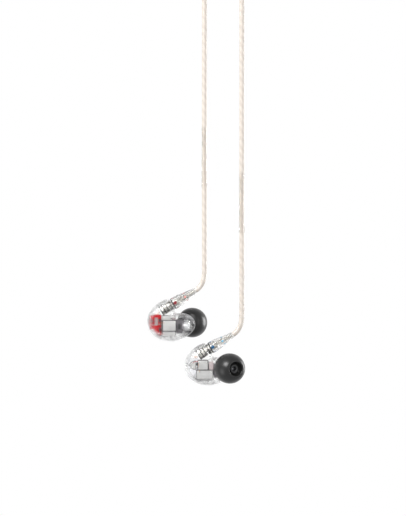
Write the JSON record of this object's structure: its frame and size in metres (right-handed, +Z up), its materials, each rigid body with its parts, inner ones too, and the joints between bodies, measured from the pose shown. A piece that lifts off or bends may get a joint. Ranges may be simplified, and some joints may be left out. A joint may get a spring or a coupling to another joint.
{
  "type": "in-ear monitors",
  "caption": "Pair of clear in-ear monitors with visible drivers, black ear sleeves, swivelling snap-in connectors and a detachable forked cable with a coiled lead.",
  "frame": {"origin": "inner top of the tied coil of spare cable, the point the whole set hangs from", "axes": "+Z up along the hanging cords, +X to the right of the pair, +Y through the earpieces: the right earpiece has its nozzle on the +Y side and the left one on the -Y side"},
  "size_m": [0.0587, 0.0324, 0.2478],
  "materials": {
    "clear_shell": "gloss",
    "clear_hood": "gloss",
    "collar": "satin",
    "nozzle_metal": "satin",
    "screen": "satin",
    "barrel_chrome": "polished",
    "tube_block": "satin",
    "driver_silver": "brushed",
    "cradle": "satin",
    "board_r": "satin",
    "board_l": "satin",
    "board_parts": "matte",
    "copper": "satin",
    "socket_metal": "satin",
    "gold": "polished",
    "plug_metal": "satin",
    "ear_sleeve": "satin",
    "sleeve_core": "satin",
    "dot_dark_r": "gloss",
    "dot_light_r": "gloss",
    "dot_dark_l": "gloss",
    "dot_light_l": "gloss",
    "cord": "satin",
    "tie": "matte",
    "black_fittings": "satin",
    "insulator": "satin"
  },
  "bodies": {
    "cable": {"connector_hood_r": "clear_hood", "connector_plug_r": "plug_metal", "dot_dark_r": "dot_dark_r", "dot_light_r": "dot_light_r", "wire_collar_r": "collar", "connector_hood_l": "clear_hood", "connector_plug_l": "plug_metal", "dot_dark_l": "dot_dark_l", "dot_light_l": "dot_light_l", "wire_collar_l": "collar", "cord_right": "cord", "cord_left": "cord", "cord_tails": "cord", "main_lead": "cord", "cord_coil": "cord", "coil_tie": "tie", "y_split": "black_fittings", "plug_body": "black_fittings", "plug_contacts": "gold", "plug_insulators": "insulator"},
    "right_swivel": {"snap_ring_r": "gold"},
    "right_earpiece": {"outer_shell_r": "clear_shell", "inner_shell_r": "clear_shell", "nozzle_stem_r": "nozzle_metal", "nozzle_screen_r": "screen", "throat_barrel_r": "barrel_chrome", "tube_block_r": "tube_block", "woofer_upper_r": "driver_silver", "woofer_lower_r": "driver_silver", "mid_driver_r": "driver_silver", "tweeter_driver_r": "driver_silver", "driver_cradle_r": "cradle", "crossover_board_r": "board_r", "board_parts_r": "board_parts", "lead_wires_r": "copper", "socket_shell_r": "socket_metal", "socket_contact_r": "gold"},
    "right_sleeve": {"ear_sleeve_r": "ear_sleeve", "sleeve_core_r": "sleeve_core"},
    "left_swivel": {"snap_ring_l": "gold"},
    "left_earpiece": {"outer_shell_l": "clear_shell", "inner_shell_l": "clear_shell", "nozzle_stem_l": "nozzle_metal", "nozzle_screen_l": "screen", "throat_barrel_l": "barrel_chrome", "tube_block_l": "tube_block", "woofer_upper_l": "driver_silver", "woofer_lower_l": "driver_silver", "mid_driver_l": "driver_silver", "tweeter_driver_l": "driver_silver", "driver_cradle_l": "cradle", "crossover_board_l": "board_l", "board_parts_l": "board_parts", "lead_wires_l": "copper", "socket_shell_l": "socket_metal", "socket_contact_l": "gold"},
    "left_sleeve": {"ear_sleeve_l": "ear_sleeve", "sleeve_core_l": "sleeve_core"},
    "slider": {"cinch_slider": "black_fittings"}
  },
  "joints": [
    {"name": "right_connector_swivel", "type": "hinge", "parent": "cable", "child": "right_swivel", "pos_m": [-0.02642, 0, -0.1792], "axis": [0.8572, 0, 0.515], "range_deg": [-25, 180]},
    {"name": "right_unplug", "type": "slide", "parent": "right_swivel", "child": "right_earpiece", "axis": [-0.8572, 0, -0.515], "range_m": [0, 0.006]},
    {"name": "right_sleeve_pull", "type": "slide", "parent": "right_earpiece", "child": "right_sleeve", "axis": [0.454, 0.891, 0], "range_m": [0, 0.01]},
    {"name": "left_connector_swivel", "type": "hinge", "parent": "cable", "child": "left_swivel", "pos_m": [-0.01072, 0, -0.1977], "axis": [0.8572, 0, 0.515], "range_deg": [-25, 90]},
    {"name": "left_unplug", "type": "slide", "parent": "left_swivel", "child": "left_earpiece", "axis": [-0.8572, 0, -0.515], "range_m": [0, 0.006]},
    {"name": "left_sleeve_pull", "type": "slide", "parent": "left_earpiece", "child": "left_sleeve", "axis": [0.454, -0.891, 0], "range_m": [0, 0.01]},
    {"name": "cinch_slide", "type": "slide", "parent": "cable", "child": "slider", "axis": [0, 0, -1], "range_m": [0, 0.0072]}
  ]
}
